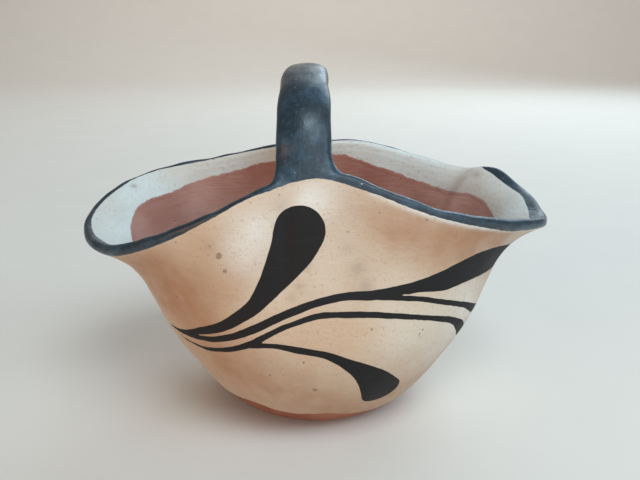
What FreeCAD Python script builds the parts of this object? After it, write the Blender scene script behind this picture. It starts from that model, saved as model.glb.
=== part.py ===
import FreeCAD, Part
import math
import os

# A hand-built clay basket: a round bowl drawn out into a long spout at each end, with a strap
# handle over the mouth. It is red clay, coated outside and round the inner rim with cream slip,
# with a black rim and a black handle. Millimetres. +Z is up, +X is to the right, -Y is the front.
# The origin is the middle of the flat foot.

# ---- driving dimensions ----
WALL = 3.4  # thickness of the pinched wall
FLOOR = 5.0  # thickness of the bottom
SLIP_SHARE = 0.15  # share of the wall's thickness that a coat of slip takes
LIP = 2.2  # height of the rounded lip over the rim coil's lower edge

# The rim seen from above: direction in degrees (0 is the right spout, 90 the back), reach from
# the axis, and height of the rim coil's lower edge. High at the handle, low at the two spouts.
RIM = [
    (0, 75.0, 60.5),
    (12, 75.5, 63.8),
    (18, 75.0, 65.6),
    (23, 73.5, 69.2),
    (27, 71.3, 71.6),
    (31, 68.0, 68.2),
    (37, 61.5, 70.8),
    (50, 53.0, 75.3),
    (66, 45.0, 80.0),
    (90, 39.0, 80.6),
    (112, 44.0, 78.6),
    (132, 53.5, 74.0),
    (150, 65.5, 70.2),
    (165, 73.0, 65.6),
    (180, 75.5, 59.9),
    (197, 71.0, 57.0),
    (214, 63.5, 61.0),
    (234, 55.0, 71.0),
    (252, 47.5, 80.0),
    (270, 42.5, 85.0),
    (288, 44.5, 81.5),
    (307, 52.0, 74.0),
    (323, 57.5, 69.0),
    (338, 64.0, 65.0),
    (350, 71.5, 62.0),
]

# Levels of the bowl, from the edge of the flat foot to the belly: height, half length along X,
# half depth along Y.
BOWL = [
    (0.0, 20.0, 20.0),
    (0.0, 25.5, 25.5),
    (5.5, 33.0, 33.0),
    (14.5, 40.5, 40.5),
    (26.0, 48.3, 47.0),
    (37.0, 54.2, 50.5),
]

# Levels of the neck, from the belly to the rim: share of the rise, and share of the way out
# where the neck is hollow and flares into a spout.
NECK = [(0.33, 0.18), (0.64, 0.34), (0.88, 0.62), (1.0, 1.0)]
FLARE_START = 1.0  # a neck reaching this far past the belly begins to be hollow
FLARE_SPAN = 12.0  # and is fully hollow this much further out

# The strap handle is an arch in the Y-Z plane.
HANDLE_X = -3.5  # the arch stands a little left of the middle
HANDLE_FRONT = -42.0
HANDLE_BACK = 37.5
HANDLE_FOOT = 83.0
HANDLE_TOP = 113.4
STRAP_THICK = 8.0
STRAP_HALF_WIDTH = 6.9  # at the top of the arch
STRAP_TAPER = 1.1  # added towards the feet
ROOT_FLARE_LEFT = 1.5  # added at the very foot, where the clay is spread over the rim
ROOT_FLARE_RIGHT = 5.0  # on the right of the front foot, which is spread further
ROOT_THINNING = 0.55  # share of the thickness smeared away at the foot, on the inner side
ROOT_SHARPNESS = 60  # high: the spreading stays close to the rim
ROOT_HEIGHT = 9.0  # height of the worked joint over the handle's foot
ARCH_ROUNDNESS = 0.85  # exponent under 1: squarer than a half ellipse
SECTION_ROUNDNESS = 0.8  # exponent under 1: a flat band with rounded edges

# ---- resolution of the control nets ----
COLUMNS = 64  # round the wall
CROWDING = 0.25  # how far the columns crowd towards the spouts
HANDLE_ROWS = 21
HANDLE_CROWDING = 0.12  # how far the handle's rows crowd towards its feet
HANDLE_COLUMNS = 16
DEGREE = 3
COILS = 6  # courses of coiled clay over the bottom
SEW_TOLERANCE = 0.001


def vector(x, y, z):
    """A point in the part's frame."""
    return FreeCAD.Vector(x, y, z)


def mix(a, b, share):
    """The point that lies a share of the way from a to b."""
    return a * (1.0 - share) + b * share


def directions():
    """Direction of each column of the wall, in degrees, closer together at the spouts."""
    turns = [2.0 * math.pi * i / COLUMNS for i in range(COLUMNS)]
    return [math.degrees(t - CROWDING * math.sin(2.0 * t)) for t in turns]


def rim_at(direction, field):
    """Reach (field 1) or height (field 2) of the rim in a direction, smooth through RIM."""
    stations = [(s[0] + 360.0 * lap, s[field]) for lap in (-1, 0, 1) for s in RIM]
    i = max(k for k, s in enumerate(stations) if s[0] <= direction)
    (d0, v0), (d1, v1) = stations[i], stations[i + 1]
    span = d1 - d0
    slope0 = (v1 - stations[i - 1][1]) / (d1 - stations[i - 1][0]) * span
    slope1 = (stations[i + 2][1] - v0) / (stations[i + 2][0] - d0) * span
    t = (direction - d0) / span
    rise = 3.0 * t**2 - 2.0 * t**3
    start = t**3 - 2.0 * t**2 + t
    end = t**3 - t**2
    return v0 * (1.0 - rise) + v1 * rise + slope0 * start + slope1 * end


def bowl_radius(level, direction):
    """Radius of an elliptic level of the bowl in a direction."""
    angle = math.radians(direction)
    return 1.0 / math.hypot(math.cos(angle) / level[1], math.sin(angle) / level[2])


def column(direction):
    """Points of the wall's outer face in one direction, from the foot to the rim."""
    angle = math.radians(direction)
    out = vector(math.cos(angle), math.sin(angle), 0.0)
    points = [out * bowl_radius(level, direction) + vector(0, 0, level[0]) for level in BOWL]
    belly_height = BOWL[-1][0]
    belly = bowl_radius(BOWL[-1], direction)
    reach = rim_at(direction, 1)
    rise = rim_at(direction, 2) - belly_height
    hollow = min(1.0, max(0.0, (reach - belly - FLARE_START) / FLARE_SPAN))
    for share, flared in NECK:
        way_out = share * (1.0 - hollow) + flared * hollow
        radius = belly + (reach - belly) * way_out
        points.append(out * radius + vector(0, 0, belly_height + rise * share))
    return points


def inward(net, i, row):
    """Unit normal into the clay at a pole of the outer net; straight up under the floor."""
    if row < 2:
        return vector(0, 0, 1)
    last = len(net[0]) - 1
    along = net[(i + 1) % COLUMNS][row] - net[i - 1][row]
    up = net[i][min(row + 1, last)] - net[i][row - 1]
    return up.cross(along).normalize()


def offset_net(net):
    """The inner net of the wall, WALL inside the outer one, FLOOR over the foot."""
    depths = [FLOOR, FLOOR] + [WALL] * (len(net[0]) - 2)
    return [
        [point + inward(net, i, row) * depths[row] for row, point in enumerate(points)]
        for i, points in enumerate(net)
    ]


def between(outer, inner, share):
    """The net that lies a share of the way through the wall."""
    return [[mix(a, b, share) for a, b in zip(p, q)] for p, q in zip(outer, inner)]


def surface_of(net):
    """Surface over a net of columns: closed round the columns, clamped along each column."""
    around, along = len(net), len(net[0])
    spans = along - DEGREE
    surface = Part.BSplineSurface()
    surface.buildFromPolesMultsKnots(
        net,
        [1] * (around + 1),
        [DEGREE + 1] + [1] * (spans - 1) + [DEGREE + 1],
        [float(k) for k in range(around + 1)],
        [float(k) for k in range(spans + 1)],
        True,
        False,
        DEGREE,
        DEGREE,
    )
    return surface


def band(surface, low, high):
    """The face of a surface between two levels."""
    start, end = surface.bounds()[:2]
    return surface.toShape(start, end, low, high)


def ring_edge(surface, level):
    """The closed edge of a surface at one level."""
    return surface.vIso(level).toShape()


def bridge(edge_a, edge_b):
    """The ruled face between two closed edges."""
    return Part.makeRuledSurface(edge_a, edge_b)


def disc(edge):
    """The flat face inside a closed flat edge."""
    return Part.Face(Part.Wire([edge]))


def solid_of(faces):
    """One closed solid from faces that share their edges."""
    shell = Part.makeCompound(faces)
    shell.sewShape(SEW_TOLERANCE)
    solid = Part.makeSolid(shell.Shells[0])
    if solid.Volume < 0.0:
        solid.reverse()
    return solid


class Wall:
    """The basket's wall, as one volume of levels up the wall and shares of its thickness."""

    def __init__(self):
        self.outer = [column(direction) for direction in directions()]
        self.inner = offset_net(self.outer)

    def skin(self, share):
        """The surface a share of the way from the outer to the inner face."""
        return surface_of(between(self.outer, self.inner, share))

    def block(self, low, high, start, end):
        """The clay between two levels and two shares of the thickness, as a closed ring."""
        near, far = self.skin(start), self.skin(end)
        return solid_of([
            band(near, low, high),
            band(far, low, high),
            bridge(ring_edge(near, low), ring_edge(far, low)),
            bridge(ring_edge(near, high), ring_edge(far, high)),
        ])

    def bottom(self):
        """The pat of clay under the first coil: its foot is flat outside and in."""
        near, far = self.skin(0.0), self.skin(1.0)
        return solid_of([
            band(near, 0.0, 1.0),
            band(far, 0.0, 1.0),
            bridge(ring_edge(near, 1.0), ring_edge(far, 1.0)),
            disc(ring_edge(near, 0.0)),
            disc(ring_edge(far, 0.0)),
        ])

    def lip_column(self, i):
        """Points over the wall's top edge at one column, from its outer to its inner face."""
        outer, inner = self.outer[i], self.inner[i]
        o, n = outer[-1], inner[-1]
        up_out = (o - outer[-2]).normalize() * LIP
        up_in = (n - inner[-2]).normalize() * LIP
        return [
            o,
            o + up_out * 0.6,
            mix(o, n, 0.15) + up_out * 1.15,
            mix(o, n, 0.85) + up_in * 1.15,
            n + up_in * 0.6,
            n,
        ]

    def rim(self):
        """The rounded coil that finishes the wall."""
        lip = surface_of([self.lip_column(i) for i in range(COLUMNS)])
        top = lip.bounds()[3]
        start, end = ring_edge(lip, 0.0), ring_edge(lip, top)
        return solid_of([band(lip, 0.0, top), bridge(start, end)])


def power(value, exponent):
    """A power that keeps its sign."""
    return math.copysign(abs(value) ** exponent, value)


def arch_point(turn):
    """Middle of the strap at a turn along the arch, from 0 at the front to pi at the back."""
    middle = (HANDLE_FRONT + HANDLE_BACK) / 2.0
    half = (HANDLE_BACK - HANDLE_FRONT - STRAP_THICK) / 2.0
    rise = HANDLE_TOP - STRAP_THICK / 2.0 - HANDLE_FOOT
    y = middle - half * power(math.cos(turn), ARCH_ROUNDNESS)
    z = HANDLE_FOOT + rise * max(0.0, math.sin(turn)) ** ARCH_ROUNDNESS
    return vector(HANDLE_X, y, z)


def strap_section(turn):
    """Points of the strap's section at a turn along the arch, square to the arch."""
    step = 0.01
    along = arch_point(min(math.pi, turn + step)) - arch_point(max(0.0, turn - step))
    if turn <= 0.0 or turn >= math.pi:
        along = vector(0, 0, 1 if turn <= 0.0 else -1)
    along.normalize()
    across = vector(1, 0, 0)
    out = along.cross(across).normalize() * -1.0
    foot = abs(math.cos(turn))
    spread = foot**ROOT_SHARPNESS
    thick = STRAP_THICK * (1.0 - ROOT_THINNING * spread)
    middle = arch_point(turn) + out * (STRAP_THICK - thick) / 2.0
    points = []
    for i in range(HANDLE_COLUMNS):
        angle = 2.0 * math.pi * i / HANDLE_COLUMNS
        spread_far = turn < math.pi / 2.0 and math.cos(angle) > 0.0
        flare = ROOT_FLARE_RIGHT if spread_far else ROOT_FLARE_LEFT
        half_width = STRAP_HALF_WIDTH + STRAP_TAPER * foot + flare * spread
        side = power(math.cos(angle), SECTION_ROUNDNESS) * half_width
        rise = power(math.sin(angle), SECTION_ROUNDNESS) * thick / 2.0
        points.append(middle + across * side + out * rise)
    return points


def whole_handle():
    """The arch from foot to foot as one solid, before it is divided and fitted to the rim."""
    shares = [k / (HANDLE_ROWS - 1.0) for k in range(HANDLE_ROWS)]
    eased = [x - HANDLE_CROWDING * math.sin(2.0 * math.pi * x) for x in shares]
    sections = [strap_section(math.pi * x) for x in eased]
    net = [list(points) for points in zip(*sections)]
    skin = surface_of(net)
    top = skin.bounds()[3]
    ends = [disc(ring_edge(skin, 0.0)), disc(ring_edge(skin, top))]
    return solid_of([band(skin, 0.0, top)] + ends)


def slab(low, high, y_low, y_high):
    """A box wider than the handle between two heights and two depths."""
    reach = 40.0
    corner = vector(HANDLE_X - reach, y_low, low)
    return Part.makeBox(2.0 * reach, y_high - y_low, high - low, corner)


def handle_pieces(seat):
    """The strap, and the two worked joints that carry it on the rim, cut to fit the seat."""
    handle = whole_handle()
    joint = HANDLE_FOOT + ROOT_HEIGHT
    middle = (HANDLE_FRONT + HANDLE_BACK) / 2.0
    far = 100.0
    strap = handle.common(slab(joint, HANDLE_TOP + far, -far, far))
    front = handle.common(slab(0.0, joint, -far, middle))
    back = handle.common(slab(0.0, joint, middle, far))
    return {
        "handle_strap": strap,
        "handle_root_front": front.cut(seat),
        "handle_root_back": back.cut(seat),
    }


def main():
    """Builds every piece and writes one STEP file for each."""
    wall = Wall()
    top = float(COILS + 1)
    pieces = {"base_pat": wall.bottom()}
    for k in range(1, COILS + 1):
        end = 1.0 - SLIP_SHARE if k == COILS else 1.0
        pieces["wall_coil_%d" % k] = wall.block(float(k), k + 1.0, SLIP_SHARE, end)
    pieces["outer_slip"] = wall.block(1.0, top, 0.0, SLIP_SHARE)
    pieces["inner_rim_slip"] = wall.block(top - 1.0, top, 1.0 - SLIP_SHARE, 1.0)
    pieces["rim_coil"] = wall.rim()
    seat = [pieces["rim_coil"], wall.block(top - 2.0, top, 0.0, 1.0)]
    pieces.update(handle_pieces(seat))
    os.makedirs("parts", exist_ok=True)
    for name, shape in pieces.items():
        shape.exportStep("parts/" + name + ".step")
        print(name, "solids", len(shape.Solids), "valid", shape.isValid(),
              "volume %.1f" % shape.Volume)


main()
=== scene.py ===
import logging
import math
from collections.abc import Callable
from dataclasses import dataclass, field
from enum import Enum

import bpy
import numpy as np
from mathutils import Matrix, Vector


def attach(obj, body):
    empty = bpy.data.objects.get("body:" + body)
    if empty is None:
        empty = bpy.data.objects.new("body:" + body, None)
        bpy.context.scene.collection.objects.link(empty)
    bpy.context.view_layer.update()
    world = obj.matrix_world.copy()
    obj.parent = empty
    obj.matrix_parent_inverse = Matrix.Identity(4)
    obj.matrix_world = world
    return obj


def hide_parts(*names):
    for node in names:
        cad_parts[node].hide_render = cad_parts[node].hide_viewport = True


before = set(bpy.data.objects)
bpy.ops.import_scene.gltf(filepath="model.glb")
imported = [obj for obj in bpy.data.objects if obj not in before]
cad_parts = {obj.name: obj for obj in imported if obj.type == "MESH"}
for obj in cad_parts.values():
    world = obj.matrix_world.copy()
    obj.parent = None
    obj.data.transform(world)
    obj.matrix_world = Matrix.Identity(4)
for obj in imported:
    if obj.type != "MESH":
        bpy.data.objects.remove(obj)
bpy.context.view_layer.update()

# A small hand-built clay basket: a round bowl drawn out into a spout at each end, with a strap
# handle over the mouth. Red clay, cream slip outside and round the inner rim, black rim, black
# handle and black leaf strokes. +Z is up, +X is to the right, -Y is the painted front.
# Tables of the form are in millimetres, as in the part; everything built is in metres.

MM = 0.001
log = logging.getLogger("basket")

# The rim from above: direction in degrees (0 right spout, 90 back), reach from the axis, and
# height of the rim coil's lower edge.
RIM = (
    (0, 75.0, 60.5), (12, 75.5, 63.8), (18, 75.0, 65.6), (23, 73.5, 69.2), (27, 71.3, 71.6),
    (31, 68.0, 68.2), (37, 61.5, 70.8), (50, 53.0, 75.3), (66, 45.0, 80.0), (90, 39.0, 80.6),
    (112, 44.0, 78.6), (132, 53.5, 74.0), (150, 65.5, 70.2), (165, 73.0, 65.6), (180, 75.5, 59.9),
    (197, 71.0, 57.0), (214, 63.5, 61.0), (234, 55.0, 71.0), (252, 47.5, 80.0), (270, 42.5, 85.0),
    (288, 44.5, 81.5), (307, 52.0, 74.0), (323, 57.5, 69.0), (338, 64.0, 65.0), (350, 71.5, 62.0),
)

# Levels of the bowl from the foot's edge to the belly: height, half length, half depth.
BOWL = (
    (0.0, 20.0, 20.0), (0.0, 25.5, 25.5), (5.5, 33.0, 33.0),
    (14.5, 40.5, 40.5), (26.0, 48.3, 47.0), (37.0, 54.2, 50.5),
)

# Levels of the neck from belly to rim: share of the rise, share of the way out if it flares.
NECK = ((0.33, 0.18), (0.64, 0.34), (0.88, 0.62), (1.0, 1.0))

# The leaf strokes: direction in degrees, level up the wall in coil courses, half width in mm.
TEARDROP = (
    (208, 3.88, 0.15), (220, 3.91, 0.8), (228, 4.10, 1.2), (238, 4.38, 1.55), (245, 4.67, 1.9),
    (250, 4.91, 2.3), (254.5, 5.26, 3.4), (258.5, 5.60, 4.85), (262, 5.91, 6.2),
    (264.3, 6.20, 7.15),
)
LEAF = (
    (208, 3.88, 0.15), (220, 3.83, 0.75), (230.5, 3.90, 0.95), (240, 4.10, 1.1),
    (249, 4.36, 1.25), (257, 4.60, 1.2), (265, 4.78, 1.15), (272, 4.90, 1.15), (280, 5.00, 1.2),
    (290, 5.06, 1.5), (300, 5.23, 1.55), (307, 5.37, 2.15), (315, 5.52, 3.4), (324, 5.75, 4.1),
    (333, 5.91, 4.5), (345, 6.02, 4.5), (352, 6.05, 3.9),
)
TWIG = (
    (289, 5.0, 0.6), (300, 5.02, 0.8), (307.5, 4.99, 0.8), (318, 4.80, 0.85), (328, 4.53, 1.0),
    (333, 4.33, 1.4), (339, 4.12, 1.5), (350, 3.8, 0.2),
)
STEM = (
    (208, 3.86, 0.15), (217, 3.61, 0.4), (227.5, 3.54, 0.65), (237, 3.69, 0.85),
    (245.5, 3.92, 1.0), (251, 4.13, 0.95), (257, 4.35, 0.85), (264, 4.52, 0.85),
    (271, 4.63, 0.95), (278, 4.65, 0.95), (290, 4.65, 0.95), (305, 4.55, 0.85), (317, 4.33, 1.0),
    (323.5, 4.10, 1.3), (328.5, 3.84, 1.9), (334, 3.50, 2.0), (342, 3.15, 0.4),
)
LOW_LEAF = (
    (247.5, 3.95, 0.8), (255.5, 4.01, 0.8), (264, 3.93, 1.05), (272.5, 3.80, 1.15),
    (278, 3.62, 1.6), (284, 3.34, 2.6), (288, 3.10, 3.6), (292.5, 2.76, 5.0),
    (297.6, 2.29, 6.4),
)

# Where the black paint stops outside the rim: direction, height over the lip's outer edge in mm.
PAINT_OUTSIDE = (
    (0, 0.8), (90, 0.8), (180, 0.6), (205, 0.3), (224, 0.4), (237, 1.0), (248, 1.6), (255, 0.9),
    (272, 0.0), (284, -0.4), (298, 0.1), (312, 0.2), (326, 0.0), (338, -0.4), (347, 0.2),
    (354, 0.9),
)

# Where it stops inside: direction, depth under the lip's inner edge in mm.
PAINT_INSIDE = (
    (0, 2.9), (6, 2.0), (13, 0.8), (18, 1.4), (23, 1.9), (27, 0.3), (30, -2.3), (38, -2.6),
    (80, -2.7), (112, -2.0), (130, -2.3), (145, -1.2), (157, -1.3), (166, -0.5), (176, -0.6),
    (190, 0.0), (198, 0.6), (270, 0.8), (340, 0.8), (350, 1.8),
)

# How far the slip comes down inside the rim: direction, depth in mm.
BAND_DEPTH = (
    (0, 14.0), (12, 13.4), (19, 11.7), (24, 12.4), (28, 12.6), (33, 9.8), (39, 7.5), (50, 6.6),
    (62, 5.7), (69, 4.9), (77, 3.0), (95, 2.6), (113, 3.4), (127, 3.6), (138, 4.8), (145, 6.6),
    (153, 9.2), (158, 9.8), (163, 9.1), (168, 9.6), (176, 12.2), (183, 14.2), (200, 12.5),
    (225, 8.0), (250, 5.0), (275, 4.0), (300, 6.0), (325, 9.0), (345, 13.0),
)

# Dents and swells pressed by thumbs: direction, level, half width in degrees, half height in
# levels, and depth in mm (a swell is negative).
THUMB_MARKS = (
    (259.5, 6.3, 3.0, 0.9, 0.7), (250, 6.3, 5.0, 0.9, -0.6), (271, 6.6, 5.0, 0.6, -0.45),
    (288, 6.3, 7.0, 0.7, 0.45), (283, 5.5, 4.0, 0.6, 0.3), (232, 5.4, 7.0, 1.0, 0.35),
    (29.5, 6.6, 2.6, 1.1, 1.1), (24, 6.2, 3.0, 0.9, -0.4), (160, 5.6, 8.0, 0.9, 0.4),
    (318, 7.0, 26.0, 0.09, -0.45),
)

# Lower edge of the outside slip, where red clay begins: direction, level.
FOOT_EDGE = (
    (0, 1.05), (40, 1.15), (90, 1.3), (140, 1.2), (180, 1.25), (215, 1.35), (236, 1.5),
    (247, 1.38), (260, 1.32), (273, 1.33), (285, 1.22), (300, 1.04), (330, 1.0),
)

# Soft stains in the slip outside, with painted shade along the thumb dents near 258 and 284
# degrees: direction, level, radius in mm, strength.
STAINS_AND_DENT_SHADE = (
    (264.5, 5.2, 1.7, 0.3), (267, 5.55, 1.3, 0.3), (262, 5.0, 1.4, 0.25), (236, 6.5, 2.6, 0.2),
    (231, 5.9, 2.2, 0.12), (258.5, 6.7, 2.4, 0.14), (258.3, 6.3, 2.4, 0.14),
    (258, 5.9, 2.0, 0.1), (281, 5.9, 2.0, 0.22), (284, 5.55, 2.3, 0.28), (287, 5.2, 2.5, 0.28),
)

# Small crisp spots outside: direction, level, radius in mm.
SPOTS = (
    (238.8, 6.20, 1.0), (240.5, 5.81, 0.8), (239.5, 5.96, 0.5), (269.5, 2.66, 0.8),
    (270.5, 4.28, 0.45), (288.3, 4.36, 0.5), (306, 4.09, 0.5), (281, 6.2, 0.45), (292, 6.7, 0.5),
    (221, 5.2, 0.45), (310, 3.1, 0.45), (96, 5.6, 0.9), (70, 3.2, 0.6),
)

# Smudges inside the rim, read the same way; the broad ones at 12 and 30 degrees are painted shade
# on the right spout's inner wall, which faces away from the light.
SMUDGES_AND_SHADE = (
    (30, 6.2, 9.0, 0.3), (12, 6.3, 10.0, 0.14), (36.5, 6.45, 1.5, 0.5), (34, 6.5, 1.0, 0.35),
    (27.5, 6.85, 1.6, 0.5), (162, 6.93, 1.1, 0.6), (176, 5.4, 2.2, 0.35), (230, 5.2, 2.5, 0.3),
    (150, 4.6, 3.0, 0.3), (14, 6.2, 1.8, 0.15),
)

# Painted highlights outside: pools of light on the wall in a bluish white, and a bright line along
# the lip's outer edge from 290 to 356 degrees; read the same way.
PAINTED_HIGHLIGHTS = (
    (248.5, 6.5, 6.0, 0.8), (246, 6.0, 7.0, 0.5), (270, 6.7, 6.0, 0.55), (266, 6.6, 5.0, 0.35),
    (320, 3.5, 14.0, 0.35), (335, 4.2, 14.0, 0.4), (326, 5.0, 8.0, 0.4), (300, 4.1, 9.0, 0.15),
    (345, 6.7, 6.0, 0.4), (100, 6.2, 9.0, 0.5), (60, 5.0, 12.0, 0.4),
    (140, 3.6, 14.0, 0.4),
    *((direction, 7.0, 1.0, 0.8) for direction in np.arange(290.0, 356.0, 0.8)),
)

# Painted warm shade inside the right spout, where the wall faces away from the light; read the
# same way.
WARM_SHADE_INSIDE = (
    (345, 5.8, 13.0, 0.22), (5, 6.1, 14.0, 0.3), (24, 6.3, 12.0, 0.32), (42, 6.5, 10.0, 0.2),
)

# Painted warm shade outside, under the flaring rim, low on the bowl and at the sides: darker,
# warmer slip standing for shade and warm light thrown up from below; read the same way.
WARM_SHADE_PATCHES = (
    (281, 6.5, 8.0, 0.3), (292, 6.5, 9.0, 0.5), (302, 6.5, 9.0, 0.55), (312, 6.5, 9.0, 0.6),
    (322, 6.5, 10.0, 0.75), (332, 6.4, 10.0, 0.85), (342, 6.3, 10.0, 0.8), (352, 6.3, 9.0, 0.5),
    (208, 6.0, 10.0, 0.6), (216, 6.1, 10.0, 0.9), (222, 5.3, 11.0, 0.7), (227, 4.5, 11.0, 0.6),
    (235, 3.1, 13.0, 0.6), (255, 2.4, 14.0, 0.6), (276, 1.9, 13.0, 0.5), (256, 3.4, 8.0, 0.2),
    (298, 1.5, 10.0, 0.5), (318, 2.1, 10.0, 0.6), (334, 2.9, 9.0, 0.35), (243, 5.9, 8.0, 0.25),
    (241, 5.3, 8.0, 0.25), (285, 5.2, 6.0, 0.2), (60, 3.0, 22.0, 0.4), (110, 5.5, 16.0, 0.5),
    (165, 2.5, 15.0, 0.4), (20, 5.0, 13.0, 0.4),
)


class Slot(Enum):
    """Material slots of the record."""

    RED_CLAY = "red_clay"
    CREAM_SLIP = "cream_slip"
    BLACK_PAINT = "black_paint"


class End(Enum):
    """The two ends of the handle, by the sign of Y."""

    FRONT = -1
    BACK = 1


def tint(red: float, green: float, blue: float) -> tuple[float, float, float, float]:
    """A colour given as seen on a screen, as the linear value that a shader takes.

    Args:
        red: Red from 0 to 1.
        green: Green from 0 to 1.
        blue: Blue from 0 to 1.

    Returns:
        The linear colour with full opacity.
    """
    linear = [((c + 0.055) / 1.055) ** 2.4 if c > 0.04 else c / 12.92 for c in (red, green, blue)]
    return (linear[0], linear[1], linear[2], 1.0)


def unit(vectors: np.ndarray) -> np.ndarray:
    """Vectors brought to length one along their last axis."""
    return vectors / np.maximum(np.linalg.norm(vectors, axis=-1, keepdims=True), 1e-12)


def ease(values: np.ndarray, low: float, high: float) -> np.ndarray:
    """A smooth step from 0 at low to 1 at high.

    Args:
        values: Where to read the step.
        low: Where it leaves 0.
        high: Where it reaches 1.

    Returns:
        The step at each value.
    """
    t = np.clip((values - low) / (high - low), 0.0, 1.0)
    return t * t * (3.0 - 2.0 * t)


def signed_power(values: np.ndarray, exponent: float) -> np.ndarray:
    """A power that keeps the sign of its base."""
    return np.sign(values) * np.abs(values) ** exponent


def smooth_through(stations: np.ndarray, values: np.ndarray, at: np.ndarray) -> np.ndarray:
    """A smooth curve through values that stand at uneven stations.

    Args:
        stations: Rising positions of the values.
        values: One row for each station.
        at: Positions to read the curve at.

    Returns:
        One row for each position in at.
    """
    slopes = np.gradient(values, axis=0) / np.gradient(stations)[:, None]
    i = np.clip(np.searchsorted(stations, at, side="right") - 1, 0, len(stations) - 2)
    span = (stations[i + 1] - stations[i])[:, None]
    t = (at - stations[i])[:, None] / span
    rise = 3.0 * t**2 - 2.0 * t**3
    lead = (t**3 - 2.0 * t**2 + t) * span * slopes[i]
    trail = (t**3 - t**2) * span * slopes[i + 1]
    return values[i] * (1.0 - rise) + values[i + 1] * rise + lead + trail


def round_table(table: tuple, direction: np.ndarray) -> np.ndarray:
    """A smooth closed curve through a table of direction and value.

    Args:
        table: Pairs of direction in degrees and value, in rising order.
        direction: Directions to read, in degrees.

    Returns:
        The value in each direction.
    """
    laps = np.array([[row[0] + 360.0 * lap, row[1]] for lap in (-1, 0, 1) for row in table])
    return smooth_through(laps[:, 0], laps[:, 1:], np.asarray(direction) % 360.0)[:, 0]


class Net:
    """A smooth cubic surface over control points: closed round its columns, clamped along them."""

    def __init__(self, poles: np.ndarray) -> None:
        """Keeps the control points.

        Args:
            poles: Control points, as columns by rows by three.
        """
        self.poles = poles
        self.columns, self.rows = poles.shape[:2]
        self.top = float(self.rows - 3)

    def round_weights(self, turn: np.ndarray) -> tuple[np.ndarray, np.ndarray]:
        """The four columns that shape each turn, and their weights.

        Args:
            turn: Share of a full turn, for each point.

        Returns:
            The column numbers and the weights, four to a point.
        """
        u = turn * self.columns
        cell = np.floor(u).astype(int)
        f = u - cell
        weights = np.stack(
            [(1 - f) ** 3, 3 * f**3 - 6 * f**2 + 4, -3 * f**3 + 3 * f**2 + 3 * f + 1, f**3], -1
        )
        return (cell[:, None] + np.arange(-1, 3)) % self.columns, weights / 6.0

    def row_weights(self, level: np.ndarray) -> np.ndarray:
        """The weight of every row at each level.

        Args:
            level: Level from 0 to top, for each point.

        Returns:
            The weights, one row for each point.
        """
        knots = np.concatenate([[0.0] * 3, np.arange(self.rows - 2), [self.top] * 3])
        at = np.clip(level, 0.0, self.top - 1e-9)[:, None]
        weights = ((at >= knots[:-1]) & (at < knots[1:])).astype(float)
        for degree in range(1, 4):
            left, right = knots[: -degree - 1], knots[degree + 1:]
            reach_in = np.maximum(knots[degree:-1] - left, 1e-12)
            reach_out = np.maximum(right - knots[1: len(right) + 1], 1e-12)
            weights = ((at - left) / reach_in * weights[:, :-1]
                       + (right - at) / reach_out * weights[:, 1:])
        return weights

    def at(self, turn: np.ndarray, level: np.ndarray) -> np.ndarray:
        """Points of the surface.

        Args:
            turn: Share of a full turn, for each point.
            level: Level from 0 to top, for each point.

        Returns:
            The points, one row each.
        """
        chosen, weights = self.round_weights(turn)
        rows = np.einsum("nk,nkrc->nrc", weights, self.poles[chosen])
        return np.einsum("nr,nrc->nc", self.row_weights(level), rows)


@dataclass(frozen=True)
class HandMarks:
    """Gentle unevenness left by fingers: a sum of seeded waves, in millimetres."""

    seed: int
    shortest: float
    longest: float
    height: float
    count: int = 14

    def at(self, points: np.ndarray) -> np.ndarray:
        """Height of the marks at points in metres.

        Args:
            points: Points, one row each.

        Returns:
            The height of the clay over its even shape, in metres.
        """
        dice = np.random.default_rng(self.seed)
        directions = unit(dice.normal(size=(self.count, 3)))
        lengths = dice.uniform(self.shortest, self.longest, self.count) * MM
        phases = dice.uniform(0.0, 2.0 * math.pi, self.count)
        waves = np.sin(points @ (directions.T / lengths) * 2.0 * math.pi + phases)
        return waves.sum(axis=1) * self.height * MM * math.sqrt(2.0 / self.count)


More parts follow.
